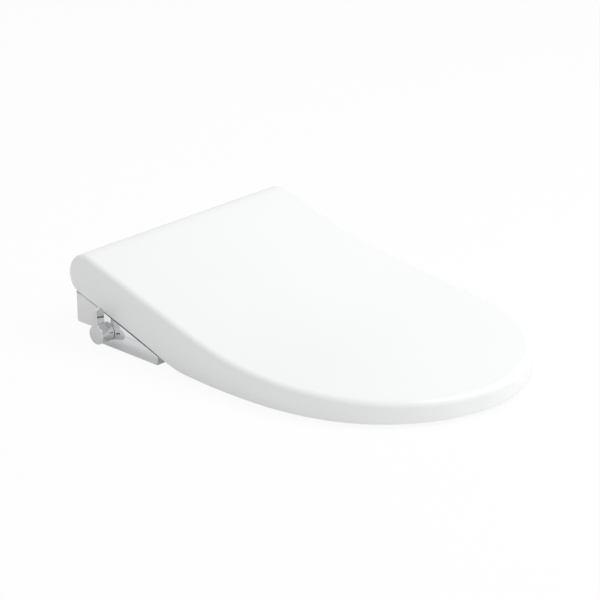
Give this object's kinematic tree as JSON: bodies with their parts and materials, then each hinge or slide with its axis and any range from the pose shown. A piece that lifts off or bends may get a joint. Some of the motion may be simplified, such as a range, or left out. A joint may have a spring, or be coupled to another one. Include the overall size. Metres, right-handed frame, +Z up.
{
  "type": "electric bidet toilet seat",
  "caption": "Wedge shaped bidet toilet seat with a wrap-over lid, heated seat ring, hinged base, side lever and wash nozzles.",
  "frame": {"origin": "on the bowl's rim plane, midway between the two fixing bolts", "axes": "+Z up, front of the seat towards -Y, the sitter's right hand and the control lever towards -X"},
  "size_m": [0.3948, 0.5365, 0.109],
  "materials": {
    "white_shell": "gloss injection moulded white polypropylene",
    "seat_underside": "fine satin moulded white polypropylene",
    "case_white": "semi-gloss moulded white ABS",
    "chrome_plated": "bright chrome plated plastic",
    "grey_plastic": "satin moulded grey acetal",
    "dark_plastic": "matte moulded black glass-filled nylon",
    "heater_body": "matte moulded natural nylon",
    "nozzle_white": "polished white moulded acetal",
    "rubber_pads": "soft matte moulded light grey elastomer",
    "seal_rubber": "matte moulded black rubber",
    "steel": "turned stainless steel",
    "brass": "turned brass",
    "foil": "thin polyester film with a heating wire",
    "board": "green printed circuit laminate"
  },
  "bodies": {
    "base": {"lower_case": "case_white", "top_cover": "case_white", "side_panel_right": "chrome_plated", "side_panel_left": "case_white", "case_screws": "steel", "bracket_screws": "steel", "rubber_feet": "rubber_pads", "mounting_plate": "grey_plastic", "hinge_bracket_right": "case_white", "hinge_bracket_left": "case_white", "seat_damper": "dark_plastic", "lid_damper": "dark_plastic", "nozzle_housing": "grey_plastic", "wiper_seals": "seal_rubber", "nozzle_guard": "case_white", "control_valve": "grey_plastic", "spindle_seal": "seal_rubber", "water_inlet": "brass", "inlet_strainer": "steel", "solenoid_valve": "dark_plastic", "water_heater": "heater_body", "vacuum_breaker": "grey_plastic", "control_board": "board", "power_inlet": "dark_plastic"},
    "seat": {"seat_top_shell": "white_shell", "seat_bottom_shell": "seat_underside", "seat_heating_foil": "foil", "seat_buffers": "rubber_pads", "seat_damper_shaft": "steel"},
    "lid": {"lid": "white_shell", "lid_buffers": "rubber_pads", "lid_damper_shaft": "steel"},
    "lever": {"lever_knob": "chrome_plated", "valve_spindle": "brass"},
    "rear_nozzle": {"rear_wash_nozzle": "nozzle_white"},
    "front_nozzle": {"front_wash_nozzle": "nozzle_white"},
    "button": {"release_button": "grey_plastic"}
  },
  "joints": [
    {"name": "seat_hinge", "type": "hinge", "parent": "base", "child": "seat", "pos_m": [0, 0.045, 0.087], "axis": [-1, 0, 0], "range_deg": [0, 102]},
    {"name": "lid_hinge", "type": "hinge", "parent": "seat", "child": "lid", "pos_m": [0, 0.045, 0.087], "axis": [-1, 0, 0], "range_deg": [0, 105]},
    {"name": "lever_turn", "type": "hinge", "parent": "base", "child": "lever", "pos_m": [-0.19, -0.004, 0.022], "axis": [-1, 0, 0], "range_deg": [-60, 60]},
    {"name": "rear_nozzle_slide", "type": "slide", "parent": "base", "child": "rear_nozzle", "axis": [0, -0.9063, -0.4226], "range_m": [0, 0.09], "stiffness_N_per_m": 20, "springref_m": -0.03},
    {"name": "front_nozzle_slide", "type": "slide", "parent": "base", "child": "front_nozzle", "axis": [0, -0.9063, -0.4226], "range_m": [0, 0.09], "stiffness_N_per_m": 20, "springref_m": -0.03},
    {"name": "release_press", "type": "slide", "parent": "base", "child": "button", "axis": [-1, 0, 0], "range_m": [0, 0.004], "stiffness_N_per_m": 800, "springref_m": -0.002}
  ]
}
